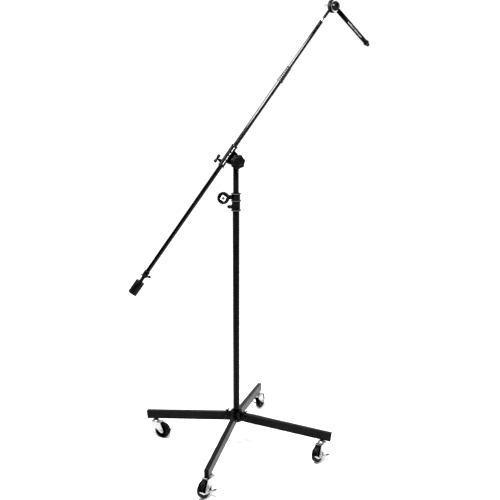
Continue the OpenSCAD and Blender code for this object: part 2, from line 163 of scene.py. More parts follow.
# The boom light glances off the boom at BOOM_LIT and lies along it.
BOOM_LIT = Vector((0.37, -0.015, 1.85))
BOOM_LIGHT_WAY = Vector((-0.83, -0.48, 0.56)).normalized()
BOOM_LIGHT_AWAY = 1.3
BOOM_LIGHT_WIDE = (0.588, 0, 0.809)
PICTURE_BLACK = 0.012
PICTURE_WHITE = 0.92

make_world()
make_sun("overhead", (-0.25, 0.35, 1.0), 0.35, 100)
make_area("boom_light", BOOM_LIT + BOOM_LIGHT_WAY * BOOM_LIGHT_AWAY, BOOM_LIT, BOOM_LIGHT_WIDE, 0.6, 1.3, 125)
make_area("right_light", (2.3, -0.2, 1.9), (0.2, 0, 1.5), UP, 1.8, 1.0, 22)
scene_view = bpy.context.scene.view_settings
scene_view.view_transform = "Standard"
scene_view.look = "None"
scene_view.exposure = 0.0
scene_view.gamma = 1.0
scene_view.use_curve_mapping = True
scene_view.curve_mapping.black_level = (PICTURE_BLACK, PICTURE_BLACK, PICTURE_BLACK)
scene_view.curve_mapping.white_level = (PICTURE_WHITE, PICTURE_WHITE, PICTURE_WHITE)
scene_view.curve_mapping.update()

FLOOR_R = 150.0
FLOOR_SIDES = 64
FLOOR_Z = -0.0004


def make_floor():
    """A plain pale floor, wide enough to reach past every view. It glows as painted light: faintly near the
    object, so that its shadows fade, and brighter away from it.
    """
    bm = bmesh.new()
    turns = [TAU * k / FLOOR_SIDES for k in range(FLOOR_SIDES)]
    bm.faces.new([bm.verts.new((FLOOR_R * math.cos(a), FLOOR_R * math.sin(a), FLOOR_Z)) for a in turns])
    mesh = bpy.data.meshes.new("floor")
    bm.to_mesh(mesh)
    bm.free()
    obj = bpy.data.objects.new("floor", mesh)
    bpy.context.scene.collection.objects.link(obj)
    mat = bpy.data.materials.new("glowing_floor_paper")
    mat.use_nodes = True
    nodes, links = nodes_of(mat.node_tree)
    out = nodes.new("ShaderNodeOutputMaterial")
    shader = nodes.new("ShaderNodeBsdfPrincipled")
    shader.inputs["Base Color"].default_value = (0.93, 0.93, 0.93, 1)
    shader.inputs["Roughness"].default_value = 0.9
    shader.inputs["Specular IOR Level"].default_value = 0.15
    coord = nodes.new("ShaderNodeTexCoord")
    away = nodes.new("ShaderNodeVectorMath")
    away.operation = "LENGTH"
    links.new(coord.outputs["Object"], away.inputs[0])
    # Painted light: the floor glows, from 0.10 near the object, which lifts its cast shadows, up to 0.5 far
    # off, where the lamps leave it dim.
    glow = nodes.new("ShaderNodeMapRange")
    glow.interpolation_type = "SMOOTHSTEP"
    glow.inputs["From Min"].default_value = 0.2
    glow.inputs["From Max"].default_value = 2.8
    glow.inputs["To Min"].default_value = 0.10
    glow.inputs["To Max"].default_value = 0.5
    links.new(away.outputs["Value"], glow.inputs["Value"])
    shader.inputs["Emission Color"].default_value = (1, 1, 1, 1)
    links.new(glow.outputs["Result"], shader.inputs["Emission Strength"])
    links.new(shader.outputs["BSDF"], out.inputs["Surface"])
    mesh.materials.append(mat)


make_floor()

# ---------------------------------------------------------------- materials


def material(name, colour, rough, metal=0.0, spec=0.5, grain=0.0, grain_scale=900.0, rough_var=0.08,
             tint_var=0.25, patch_scale=18.0, scuff=0.0, scuff_colour=(0.3, 0.3, 0.3), brushed=None,
             brush_scale=(1, 1, 1)):
    """A procedural finish. grain is a depth in mm, patches vary colour and roughness, scuff is wear."""
    mat = bpy.data.materials.new(name)
    mat.use_nodes = True
    nodes, links = nodes_of(mat.node_tree)
    out = nodes.new("ShaderNodeOutputMaterial")
    shader = nodes.new("ShaderNodeBsdfPrincipled")
    links.new(shader.outputs["BSDF"], out.inputs["Surface"])
    shader.inputs["Metallic"].default_value = metal
    shader.inputs["Specular IOR Level"].default_value = spec
    coord = nodes.new("ShaderNodeTexCoord")

    def noise(scale, detail, source=None, distortion=0.0):
        n = nodes.new("ShaderNodeTexNoise")
        n.inputs["Scale"].default_value = scale
        n.inputs["Detail"].default_value = detail
        n.inputs["Distortion"].default_value = distortion
        links.new(source or coord.outputs["Object"], n.inputs["Vector"])
        return n

    patches = noise(patch_scale, 5.0)
    vary = nodes.new("ShaderNodeMapRange")
    vary.inputs["From Min"].default_value = 0.3
    vary.inputs["From Max"].default_value = 0.7
    vary.inputs["To Min"].default_value = 1 - tint_var
    vary.inputs["To Max"].default_value = 1 + tint_var
    links.new(patches.outputs["Fac"], vary.inputs["Value"])
    base = nodes.new("ShaderNodeVectorMath")
    base.operation = "SCALE"
    base.inputs[0].default_value = colour
    links.new(vary.outputs["Result"], base.inputs["Scale"])
    colour_out = base.outputs["Vector"]
    fine = noise(grain_scale, 3.0)
    rough_map = nodes.new("ShaderNodeMapRange")
    rough_map.inputs["From Min"].default_value = 0.25
    rough_map.inputs["From Max"].default_value = 0.75
    rough_map.inputs["To Min"].default_value = max(0.03, rough - rough_var)
    rough_map.inputs["To Max"].default_value = min(1.0, rough + rough_var)
    links.new(noise(patch_scale * 3.7, 6.0).outputs["Fac"], rough_map.inputs["Value"])
    rough_out = rough_map.outputs["Result"]
    if scuff > 0:
        marks = noise(140.0, 8.0, distortion=0.6)
        band = nodes.new("ShaderNodeMapRange")
        band.inputs["From Min"].default_value = 0.66
        band.inputs["From Max"].default_value = 0.78
        band.inputs["To Min"].default_value = 0.0
        band.inputs["To Max"].default_value = scuff
        links.new(marks.outputs["Fac"], band.inputs["Value"])
        mix = nodes.new("ShaderNodeMix")
        mix.data_type = "RGBA"
        mix.inputs["B"].default_value = (*scuff_colour, 1)
        links.new(band.outputs["Result"], mix.inputs["Factor"])
        links.new(colour_out, mix.inputs["A"])
        colour_out = mix.outputs["Result"]
    links.new(colour_out, shader.inputs["Base Color"])
    links.new(rough_out, shader.inputs["Roughness"])
    height = fine.outputs["Fac"]
    if brushed is not None:
        stretch = nodes.new("ShaderNodeMapping")
        stretch.inputs["Scale"].default_value = brush_scale
        links.new(coord.outputs["Object"], stretch.inputs["Vector"])
        lines = noise(brushed, 4.0, stretch.outputs["Vector"])
        add = nodes.new("ShaderNodeMath")
        add.operation = "ADD"
        links.new(lines.outputs["Fac"], add.inputs[0])
        links.new(fine.outputs["Fac"], add.inputs[1])
        height = add.outputs["Value"]
    if grain > 0:
        bump = nodes.new("ShaderNodeBump")
        bump.inputs["Strength"].default_value = 1.0
        bump.inputs["Distance"].default_value = grain * MM
        links.new(height, bump.inputs["Height"])
        links.new(bump.outputs["Normal"], shader.inputs["Normal"])
    return mat


MATS = {
    "leg_black": material("leg_black", (0.004, 0.004, 0.0042), 0.36, spec=0.13, grain=0.10, grain_scale=1100,
                          tint_var=0.35, scuff=0.35, scuff_colour=(0.03, 0.03, 0.03)),
    "powder_black": material("powder_black", (0.004, 0.004, 0.0042), 0.30, spec=0.12, grain=0.03,
                             grain_scale=800, tint_var=0.3, scuff=0.2, scuff_colour=(0.02, 0.02, 0.02)),
    "boom_black": material("boom_black", (0.003, 0.003, 0.0032), 0.15, spec=0.24, grain=0.015,
                           grain_scale=700, tint_var=0.3, scuff=0.15, scuff_colour=(0.02, 0.02, 0.02)),
    "cast_black": material("cast_black", (0.005, 0.005, 0.0052), 0.38, spec=0.12, grain=0.12, grain_scale=650,
                           tint_var=0.3, scuff=0.3, scuff_colour=(0.025, 0.025, 0.025)),
    "weight_black": material("weight_black", (0.005, 0.005, 0.0053), 0.45, spec=0.15, grain=0.10,
                             grain_scale=900, tint_var=0.3, scuff=0.4, scuff_colour=(0.025, 0.025, 0.025)),
    "black_steel": material("black_steel", (0.008, 0.008, 0.0083), 0.36, metal=0.15, spec=0.2, grain=0.03,
                            grain_scale=1500, scuff=0.5, scuff_colour=(0.06, 0.06, 0.062)),
    "grey_steel": material("grey_steel", (0.30, 0.30, 0.31), 0.33, metal=1.0, grain=0.02, grain_scale=1500,
                           scuff=0.4, scuff_colour=(0.5, 0.5, 0.5)),
    "stud_steel": material("stud_steel", (0.014, 0.014, 0.0145), 0.34, metal=0.3, spec=0.2, grain=0.02,
                           grain_scale=1500, scuff=0.4, scuff_colour=(0.12, 0.12, 0.12)),
    # A lighter grey metal, used only for the painted highlight on the height collar's rings.
    "rim_highlight_steel": material("rim_highlight_steel", (0.12, 0.12, 0.125), 0.40, metal=0.6, grain=0.02, grain_scale=1200,
                          tint_var=0.3, scuff=0.4, scuff_colour=(0.3, 0.3, 0.3)),
    "zinc": material("zinc", (0.50, 0.505, 0.51), 0.34, metal=1.0, grain=0.03, grain_scale=500,
                     rough_var=0.10, tint_var=0.12, patch_scale=60, scuff=0.35,
                     scuff_colour=(0.45, 0.44, 0.42)),
    "chrome": material("chrome", (0.82, 0.83, 0.84), 0.09, metal=1.0, grain=0.004, grain_scale=600,
                       rough_var=0.05, tint_var=0.05),
    "tyre": material("tyre", (0.006, 0.006, 0.0062), 0.50, spec=0.10, grain=0.08, grain_scale=700,
                     tint_var=0.4, patch_scale=50, scuff=0.5, scuff_colour=(0.04, 0.04, 0.038)),
    "wheel_core": material("wheel_core", (0.005, 0.005, 0.0053), 0.45, spec=0.12, grain=0.05, grain_scale=900,
                           tint_var=0.25, patch_scale=40),
    "knob_black": material("knob_black", (0.005, 0.005, 0.0053), 0.42, spec=0.08, grain=0.05,
                           grain_scale=1000, tint_var=0.25, patch_scale=45, scuff=0.25,
                           scuff_colour=(0.03, 0.03, 0.03)),
    "grip_black": material("grip_black", (0.006, 0.006, 0.0064), 0.30, spec=0.28, grain=0.03, grain_scale=900,
                           tint_var=0.25, patch_scale=45),
    "bush": material("bush", (0.10, 0.10, 0.10), 0.5, spec=0.4, grain=0.04, grain_scale=900),
    "arm_black": material("arm_black", (0.004, 0.004, 0.0042), 0.40, spec=0.05, grain=0.02, grain_scale=1300,
                          tint_var=0.25, brushed=160.0, brush_scale=(1, 1, 14)),
    "gloss_black": material("gloss_black", (0.004, 0.004, 0.0045), 0.20, spec=0.12, grain=0.01,
                            grain_scale=300, tint_var=0.2),
    "pale_strip": material("pale_strip", (0.74, 0.74, 0.72), 0.45, spec=0.4, grain=0.01, grain_scale=900,
                           tint_var=0.06, patch_scale=80),
    "worn_strip": material("worn_strip", (0.48, 0.48, 0.47), 0.5, spec=0.3, grain=0.01, grain_scale=900,
                           tint_var=0.10, patch_scale=80),
    "label_dark": material("label_dark", (0.01, 0.01, 0.01), 0.6, spec=0.1, grain=0.01, grain_scale=900,
                           tint_var=0.1),
}

# ---------------------------------------------------------------- mesh helpers

SHARP = math.radians(32)
SOFT_SHARP = math.radians(38)


def put(name, part, mat, body, at=Matrix.Identity(4), replaces=()):
    """Makes one piece from local millimetres: places its mesh, shades it, gives it its material and body."""
    verts, faces = part
    mesh = bpy.data.meshes.new(name)
    mesh.from_pydata([tuple(at @ (Vector(v) * MM)) for v in verts], [], faces)
    bm = bmesh.new()
    bm.from_mesh(mesh)
    bmesh.ops.recalc_face_normals(bm, faces=bm.faces)
    for e in bm.edges:
        e.smooth = len(e.link_faces) == 2 and e.calc_face_angle(0) < SHARP
    for f in bm.faces:
        f.smooth = True
    bm.to_mesh(mesh)
    bm.free()
    obj = bpy.data.objects.new(name, mesh)
    bpy.context.scene.collection.objects.link(obj)
    mesh.materials.append(MATS[mat])
    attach(obj, body)
    if replaces:
        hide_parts(*replaces)


def fillet(points, radius, steps=3, closed=False):
    """Rounds the corners of a 2D path."""
    out = []
    n = len(points)
    for i, p in enumerate(points):
        if not closed and i in (0, n - 1):
            out.append(p)
            continue
        a, b, c = Vector(points[i - 1]), Vector(p), Vector(points[(i + 1) % n])
        u, w = a - b, c - b
        if u.length < 1e-9 or w.length < 1e-9:
            continue
        angle = u.angle(w)
        if angle > math.radians(172):
            out.append(p)
            continue
        reach = min(radius / math.tan(angle / 2), u.length * 0.45, w.length * 0.45)
        start, end = b + u.normalized() * reach, b + w.normalized() * reach
        for k in range(steps + 1):
            t = k / steps
            q = start * (1 - t) ** 2 + b * 2 * t * (1 - t) + end * t ** 2
            out.append((q.x, q.y))
    return out


def lathe(profile, n=64, shape=None, ring=False):
    """(r, z) points turned about Z. shape(r, z, angle) may change r, and ring joins the profile's ends."""
    verts, faces, rows = [], [], []
    for r, z in profile:
        if r < 1e-6:
            rows.append([len(verts)])
            verts.append((0, 0, z))
            continue
        row = []
        for k in range(n):
            a = TAU * k / n
            rr = shape(r, z, a) if shape else r
            row.append(len(verts))
            verts.append((rr * math.cos(a), rr * math.sin(a), z))
        rows.append(row)
    pairs = list(zip(rows, rows[1:]))
    if ring:
        pairs.append((rows[-1], rows[0]))
    for low, high in pairs:
        for k in range(n):
            j = (k + 1) % n
            quad = [low[k % len(low)], low[j % len(low)], high[j % len(high)], high[k % len(high)]]
            face = []
            for v in quad:
                if v not in face:
                    face.append(v)
            if len(face) > 2:
                faces.append(face)
    return verts, faces


def prism(outline, z0, z1, edge=0.5, steps=2):
    """An outline extruded along Z with its rims rounded by edge."""
    bm = bmesh.new()
    low = [bm.verts.new((x, y, z0)) for x, y in outline]
    high = [bm.verts.new((x, y, z1)) for x, y in outline]
    bm.faces.new(low[::-1])
    bm.faces.new(high)
    n = len(outline)
    for k in range(n):
        j = (k + 1) % n
        bm.faces.new((low[k], low[j], high[j], high[k]))
    if edge > 0:
        rims = [e for e in bm.edges if abs(e.verts[0].co.z - e.verts[1].co.z) < 1e-9]
        bmesh.ops.bevel(bm, geom=rims, offset=edge, segments=steps, profile=0.5,
                        affect="EDGES", clamp_overlap=True)
    bm.verts.ensure_lookup_table()
    verts = [tuple(v.co) for v in bm.verts]
    faces = [[v.index for v in f.verts] for f in bm.faces]
    bm.free()
    return verts, faces


def moved(part, m):
    """A part after the transform m."""
    return [tuple(m @ Vector(v)) for v in part[0]], part[1]


def joined(*parts):
    """Several parts as one."""
    verts, faces = [], []
    for v, f in parts:
        base = len(verts)
        verts += v
        faces += [[i + base for i in face] for face in f]
    return verts, faces


def rectangle(half_x, half_y):
    """The outline of a rectangle centred on the origin."""
    return [(-half_x, -half_y), (half_x, -half_y), (half_x, half_y), (-half_x, half_y)]


def shift(x=0, y=0, z=0):
    """A move along the axes."""
    return Matrix.Translation((x, y, z))


def spin(angle, axis):
    """A turn of angle degrees about an axis."""
    return Matrix.Rotation(math.radians(angle), 4, axis)


def hex_head(r, h, chamfer=0.8):
    """A hexagon bolt head or nut standing on Z 0, its upper corners turned off."""
    def shape(rr, z, a):
        flat = r * math.cos(math.pi / 6) / math.cos((a + math.pi / 6) % (math.pi / 3) - math.pi / 6)
        return min(rr, flat)
    top = [(r, 0), (r, h - chamfer), (r - chamfer * 0.5, h - chamfer * 0.45), (r - chamfer * 1.3, h), (0, h)]
    return lathe([(0, 0)] + top, 72, shape)


def thread(r, length, pitch, depth, n=40, z0=0.0):
    """A threaded rod along +Z, its thread a true helix."""
    rows = max(4, int(length / pitch * 6))
    profile = [(0, z0)] + [(r, z0 + length * k / rows) for k in range(rows + 1)] + [(0, z0 + length)]

    def shape(rr, z, a):
        t = ((z - z0) / pitch - a / TAU) % 1.0
        cut = depth * (1 - abs(2 * t - 1))
        ends = min(1.0, (z - z0) / pitch, (z0 + length - z) / pitch)
        return rr - cut * max(0.0, ends) - depth * 0.6 * (1 - max(0.0, ends))
    return lathe(profile, n, shape)


def soften(node, mat, body, width=0.5, angle=28.0):
    """The CAD node's own shape with its sharp edges rounded off, as a real casting's or pressing's are."""
    name = node + "_body"
    mesh = frame["nodes"][node].data
    bm = bmesh.new()
    bm.from_mesh(mesh)
    bmesh.ops.remove_doubles(bm, verts=bm.verts, dist=2e-6)
    bmesh.ops.dissolve_limit(bm, angle_limit=math.radians(1.0), verts=bm.verts, edges=bm.edges)
    bmesh.ops.recalc_face_normals(bm, faces=bm.faces)
    edges = [e for e in bm.edges if len(e.link_faces) == 2 and e.calc_face_angle(0) > math.radians(angle)]
    bmesh.ops.bevel(bm, geom=edges, offset=width * MM, segments=2, profile=0.6,
                    affect="EDGES", clamp_overlap=True)
    bmesh.ops.triangulate(bm, faces=[f for f in bm.faces if len(f.verts) > 4])
    for e in bm.edges:
        e.smooth = len(e.link_faces) == 2 and e.calc_face_angle(0) < SOFT_SHARP
    for f in bm.faces:
        f.smooth = True
    new = bpy.data.meshes.new(name)
    bm.to_mesh(new)
    bm.free()
    obj = bpy.data.objects.new(name, new)
    bpy.context.scene.collection.objects.link(obj)
    new.materials.append(MATS[mat])
    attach(obj, body)
    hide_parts(node)


def fluted(count, depth, low, high):
    """Flutes cut into a rim between the radii low and high, as a shape for lathe."""
    def shape(r, z, a):
        part = min(1.0, max(0.0, (r - low) / (high - low)))
        return r - depth * part * abs(math.sin(count * a / 2))
    return shape


def serrated(count, depth, low):
    """Teeth cut into every rim past the radius low, as a shape for lathe."""
    def shape(r, z, a):
        return r - depth * abs(math.sin(count * a / 2)) if r > low else r
    return shape


def arc_rim(r0, r1, z0, z1, start, end, n=72):
    """A closed band about Z from the angle start to the angle end, so that a slit stays open."""
    verts = []
    for k in range(n + 1):
        a = math.radians(start + (end - start) * k / n)
        verts += [(r * math.cos(a), r * math.sin(a), z) for r, z in ((r0, z0), (r1, z0), (r1, z1), (r0, z1))]
    faces = [(4 * k + i, 4 * k + (i + 1) % 4, 4 * k + 4 + (i + 1) % 4, 4 * k + 4 + i)
             for k in range(n) for i in range(4)]
    return verts, faces + [(0, 1, 2, 3), (4 * n + 3, 4 * n + 2, 4 * n + 1, 4 * n)]


def weld_bead(points, radius=1.3, ripple=0.35, pitch=2.2, sides=8):
    """A closed rippled bead of weld metal laid along a loop of points."""
    loop = [Vector(p) for p in points]
    dense = []
    for a, b in zip(loop, loop[1:] + loop[:1]):
        steps = max(1, round((b - a).length / (pitch / 4)))
        dense += [a.lerp(b, k / steps) for k in range(steps)]
    n = len(dense)
    middle = sum(dense, Vector()) / n
    verts, faces = [], []
    for k, p in enumerate(dense):
        along = (dense[(k + 1) % n] - dense[k - 1]).normalized()
        side = p - middle
        side = (side - along * side.dot(along)).normalized()
        other = along.cross(side)
        r = radius + ripple * math.sin(TAU * k / 4)
        for s in range(sides):
            a = TAU * s / sides
            verts.append(tuple(p + side * (r * math.cos(a)) + other * (r * math.sin(a))))
    for k in range(n):
        j = (k + 1) % n
        for s in range(sides):
            t = (s + 1) % sides
            faces.append([k * sides + s, k * sides + t, j * sides + t, j * sides + s])
    return verts, faces


def dress(node, mat):
    """Gives a CAD node that keeps its own shape a better material."""
    obj = frame["nodes"][node]
    obj.data.materials.clear()
    obj.data.materials.append(MATS[mat])


# ---------------------------------------------------------------- frames of the parts

# Each leg's frame stands at its thumb bolt, +Z square to the leg's top and +X out along the leg.
LEG_FRAMES = []
for i in range(1, 5):
    up = joint_axis(f"thumb_bolt_{i}_turn")
    out_dir = Vector((up.x, up.y, 0)).normalized()
    along = (out_dir - up * out_dir.dot(up)).normalized()
    LEG_FRAMES.append(basis(joint_pos(f"thumb_bolt_{i}_turn"), up, along))

# Each caster's frame stands on the floor under its swivel, +X towards its wheel.
CASTER_FRAMES = []
for i in range(1, 5):
    pivot = joint_pos(f"caster_{i}_swivel")
    wheel = joint_pos(f"wheel_{i}_spin")
    trail_dir = Vector((wheel.x - pivot.x, wheel.y - pivot.y, 0))
    CASTER_FRAMES.append(basis(Vector((pivot.x, pivot.y, 0)), UP, trail_dir))

WHEEL_R = joint_pos("wheel_1_spin").z / MM
TRAIL = (joint_pos("wheel_1_spin") - joint_pos("caster_1_swivel")).xy.length / MM
BOOM_DIR = joint_axis("boom_slide")
PIVOT = joint_pos("boom_tilt")
BOOM_UP = BOOM_DIR.cross(Vector((0, 1, 0))).normalized() * -1
if BOOM_UP.z < 0:
    BOOM_UP = -BOOM_UP
BOOM_AXIS_AT = joint_pos("twist_grip_turn")


def on_boom(point):
    """A frame on the boom's axis beside point, its +Z up the boom, its +X square to it and upwards."""
    t = (point - BOOM_AXIS_AT).dot(BOOM_DIR)
    return basis(BOOM_AXIS_AT + BOOM_DIR * t, BOOM_DIR, BOOM_UP)


CLUTCH_AXIS = joint_axis("arm_hinge")
CLUTCH_AT = joint_pos("arm_hinge")
ARM_DIR = Vector(MOUNTS["mic_thread"]["axis"]).normalized()
MIC_AT = Vector(MOUNTS["mic_thread"]["pos_m"])
COLLAR_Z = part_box("height_collar")[0].z
KNOB_AT = joint_pos("height_knob_turn")
KNOB_AXIS = joint_axis("height_knob_turn")
PIN_AXIS = joint_axis("safety_pin_pull")

# ---------------------------------------------------------------- base

HUB_R = 26.75
LEG_WIDE = 20
LEG_HIGH = 40
LEG_FALL = 0.11
THUMB_BOLT_OUT = 41


def hub_welds():
    """A weld bead round the root of each leg, on the hub's round wall."""
    y_max, z_top, z_low = LEG_WIDE / 2 - 0.2, -0.4, 0.4 - LEG_HIGH
    corners = [(-y_max, z_low), (y_max, z_low), (y_max, z_top), (-y_max, z_top)]
    beads = []
    for leg in LEG_FRAMES:
        ring = []
        for (y0, z0), (y1, z1) in zip(corners, corners[1:] + corners[:1]):
            for s in range(6):
                y = y0 + (y1 - y0) * s / 6
                z = z0 + (z1 - z0) * s / 6
                x = math.sqrt(HUB_R ** 2 - y * y) - THUMB_BOLT_OUT + LEG_FALL * (z + LEG_HIGH / 2)
                ring.append((x, y, z))
        verts, faces = weld_bead(ring, 1.1, 0.25)
        beads.append(([tuple((leg @ (Vector(p) * MM)) / MM) for p in verts], faces))
    put("hub_welds", joined(*beads), "cast_black", "base")


def leg_bolt(n, leg):
    """The cross bolt of one leg, with its head and its nut."""
    bolt_at = shift(5, 0, -LEG_HIGH / 2)
    face_y = LEG_WIDE / 2 + 0.1
    bolt = joined(
        moved(hex_head(5.8, 4.0), bolt_at @ shift(y=face_y) @ spin(-90, "X")),
        moved(hex_head(5.8, 4.0), bolt_at @ shift(y=-face_y) @ spin(90, "X")),
        moved(lathe([(0, -13.9), (3, -13.9), (3, 13.9), (0, 13.9)], 24), bolt_at @ spin(90, "X")),
    )
    put(f"leg_bolt_{n}", bolt, "black_steel", "base", leg, ["leg_bolts"])


def thumb_bolt(n, leg):
    """The winged bolt on top of one leg."""
    body = lathe([(0, 0.1), (4.3, 0.1), (4.6, 0.4), (4.6, 1.3), (4.3, 1.7), (4.2, 2.6), (3.8, 6.6),
                  (3.5, 8.0), (2.6, 8.4), (0, 8.4)], 40)
    rod = thread(3.0, 11.5, 1.0, 0.35, 24, -9.0)
    half = [(3.2, 1.2), (6.2, 5.0), (9.0, 10.0), (9.5, 14.0), (5.6, 14.5), (3.4, 9.0)]
    wing_line = fillet(half + [(0, 7.6)] + [(-x, y) for x, y in half[::-1]], 2.4, 4, True)
    wings = moved(prism(wing_line, -1.1, 1.1, 0.7, 3), spin(40, "Z") @ spin(90, "X"))
    put(f"thumb_bolt_{n}_body", joined(body, rod, wings), "knob_black", f"leg_lock_{n}", leg,
        [f"thumb_bolt_{n}"])


dress("lower_mast", "powder_black")
soften("hub", "cast_black", "base", 0.7)
soften("leg_caps", "knob_black", "base", 0.6)
hub_welds()
for number, leg_frame in enumerate(LEG_FRAMES, 1):
    dress(f"leg_{number}", "leg_black")
    leg_bolt(number, leg_frame)
    thumb_bolt(number, leg_frame)

# ---------------------------------------------------------------- casters

CHEEK_OUT = 16.5
BRAKE_SIDE = 18
RIBS = 6


def wheel_tyre(n, wheel_at):
    """The tyre of one wheel, with a worn tread."""
    side = [(WHEEL_R - 12, 11.9), (WHEEL_R - 9.5, 12.35), (WHEEL_R - 6, 12.5), (WHEEL_R - 3.8, 12.2),
            (WHEEL_R - 2.0, 11.1), (WHEEL_R - 0.9, 9.4), (WHEEL_R - 0.35, 7.0), (WHEEL_R - 0.15, 3.5),
            (WHEEL_R - 0.15, 0.8), (WHEEL_R, 0.35)]
    profile = [(WHEEL_R - 13, -10.5)] + [(r, -z) for r, z in side] + side[::-1] + [(WHEEL_R - 13, 10.5)]
    put(f"wheel_{n}_tyre", lathe(profile, 96, ring=True), "tyre", f"caster_wheel_{n}",
        wheel_at, [f"wheel_{n}"])


def wheel_core(n, wheel_at):
    """The moulded core of one wheel, with ribs on both sides."""
    side = [(4.06, 13.5), (9.4, 13.5), (10.4, 12.9), (11.0, 11.5), (11.6, 8.2), (12.6, 7.0),
            (WHEEL_R - 17.5, 6.8), (WHEEL_R - 15.2, 7.4), (WHEEL_R - 14.2, 9.5), (WHEEL_R - 13.6, 11.4),
            (WHEEL_R - 12.9, 11.9), (WHEEL_R - 12.1, 11.8)]
    disc = lathe([(r, -z) for r, z in side] + side[::-1], 72, ring=True)
    blade = [(10.6, -1.3), (WHEEL_R - 13.4, -1.0), (WHEEL_R - 13.4, 1.0), (10.6, 1.3)]
    ribs = []
    for k in range(RIBS):
        turned = spin(360 / RIBS * k + 30, "Z")
        for z_low, z_high in ((6.4, 10.6), (-10.6, -6.4)):
            ribs.append(moved(prism(blade, z_low, z_high, 0.35, 2), turned))
    put(f"wheel_{n}_core", joined(disc, *ribs), "wheel_core", f"caster_wheel_{n}", wheel_at,
        [f"wheel_{n}"])


def brake(n, cad):
    """The brake lever of one caster with its shoe and pedal, and the pad on the pedal."""
    lever_line = fillet([(31.3, 11), (31.3, 17), (28.9, 17), (17, 6.3), (6, 1.5), (-4, -1.6), (-20, -3.8),
                         (-36.8, -0.2), (-36.8, -4.8), (-20, -8.2), (0, -6.4), (18, -0.2)], 1.6, 3, True)
    eye_line = [(2.6, -18.95), (5.0, -18.95), (5.4, -18.5), (5.4, -17.5), (5.0, -17.05), (2.6, -17.05)]
    shoe_line = fillet([(29.1, 11), (31.3, 11), (31.3, 16.6), (29.1, 16.6)], 0.6, 2, True)
    pedal_line = fillet([(0.1, 0.1), (10.9, 0.1), (10.9, 29.9), (0.1, 29.9)], 1.6, 3, True)
    pad_line = fillet([(-0.4, 17), (11.4, 17), (11.4, 30.4), (-0.4, 30.4)], 2.0, 3, True)
    pivot = shift(TRAIL + 10, 0, WHEEL_R - 8.5)
    pedal_at = pivot @ shift(-37, BRAKE_SIDE - 0.1, -5) @ spin(25, "X")
    across = pivot @ spin(90, "X")
    lever = joined(
        moved(prism(lever_line, -BRAKE_SIDE - 0.95, -BRAKE_SIDE + 0.95, 0.5, 2), across),
        moved(lathe(eye_line, 36, ring=True), across),
        moved(prism(shoe_line, -18.4, -8.1, 0.4, 2), across),
        moved(prism(pedal_line, 0.1, 1.9, 0.4, 2), pedal_at),
    )
    put(f"brake_{n}_body", lever, "zinc", f"caster_brake_{n}", cad, [f"brake_{n}"])
    pad = moved(prism(pad_line, -0.4, 2.4, 0.6, 2), pedal_at)
    put(f"brake_{n}_pad", pad, "knob_black", f"caster_brake_{n}", cad)


def axle_bolt(n, wheel_at):
    """The axle of one wheel, with its head and nut outside the fork's cheeks."""
    bolt = joined(
        moved(hex_head(6.6, 4.0), shift(z=CHEEK_OUT + 0.06)),
        moved(hex_head(6.6, 4.0), shift(z=-CHEEK_OUT - 0.06) @ spin(180, "X")),
        lathe([(0, -21.6), (3.4, -21.6), (4.0, -21.0), (4.0, 20.8), (3.4, 21.8), (0, 21.8)], 40),
    )
    put(f"axle_{n}_bolt", bolt, "zinc", f"caster_{n}", wheel_at, [f"axle_{n}"])


def caster_stem(n, cad):
    """The fixed race, the rivet, the nut and the threaded stem of one caster."""
    race = lathe([(5.6, 81.05), (15.6, 81.05), (16.7, 81.6), (17.0, 82.6), (16.9, 83.6), (15.8, 84.4),
                  (13.4, 84.9), (12.2, 85.9), (5.6, 86.0)], 72, ring=True)
    rivet = lathe([(0, 69.1), (4.2, 69.3), (6.6, 70.2), (7.7, 71.4), (8.0, 72.95), (0, 72.95)], 48)
    put(f"caster_{n}_race", joined(race, rivet), "zinc", "base", cad, ["caster_stems"])
    nut = moved(hex_head(10.0, 6.5, 1.1), shift(z=86.05))
    stud = thread(5.5, 47.5, 1.5, 0.55, 32, 70.2)
    put(f"caster_{n}_stem", joined(nut, stud), "black_steel", "base", cad, ["caster_stems"])


for number, caster_frame in enumerate(CASTER_FRAMES, 1):
    axle_frame = basis(joint_pos(f"wheel_{number}_spin"), joint_axis(f"wheel_{number}_spin"), UP)
    wheel_tyre(number, axle_frame)
    wheel_core(number, axle_frame)
    soften(f"fork_{number}", "zinc", f"caster_{number}", 0.5)
    brake(number, caster_frame)
    axle_bolt(number, axle_frame)
    caster_stem(number, caster_frame)

# ---------------------------------------------------------------- mast


def collar_rims():
    """Lighter metal bands on the height collar's three rings, a painted highlight for the glints on their
    edges, open where the sleeve is slit.
    """
    at = basis(Vector((0, 0, COLLAR_Z)), UP, Vector((KNOB_AT.x, KNOB_AT.y, 0)))
    # The bands are a painted highlight: a lighter metal that stands in for the glints on the rings' edges.
    rims = [arc_rim(20.6, 21.7, z - 1.0, z + 1.0, 34, 326) for z in (3.0, 45.0, 75.4)]
    put("height_collar_rim_highlights", joined(*rims), "rim_highlight_steel", "base", at, ["height_collar"])


def height_knob(at):
    """The fluted round knob of the height clamp, and its screw."""
    rim = fillet([(0, 11.4), (12, 11.4), (13.4, 15.6), (24.4, 16.1), (26.5, 18.4), (26.5, 33.0), (24.6, 36.1),
                  (19.4, 36.1), (18.4, 34.7), (0, 34.7)], 1.3, 4)
    rod = lathe([(0, -13.8), (3.4, -13.8), (4.0, -13.2), (4.0, 12.0), (0, 12.0)], 32)
    put("height_knob_grip", joined(lathe(rim, 168, fluted(28, 0.7, 20.0, 26.0)), rod), "knob_black",
        "height_lock", at, ["height_knob"])


def knob_label(at):
    """The plain square plate on the height knob, and its dark dot."""
    line = fillet(rectangle(10.4, 10.4), 1.2, 4, True)
    put("knob_label_plate", moved(prism(line, 34.75, 35.2, 0.12, 2), spin(-30, "Z")), "pale_strip",
        "height_lock", at, ["knob_label"])
    put("knob_label_dot", lathe([(0, 35.15), (6.0, 35.15), (6.2, 35.28), (6.0, 35.4), (0, 35.4)], 40),
        "label_dark", "height_lock", at)


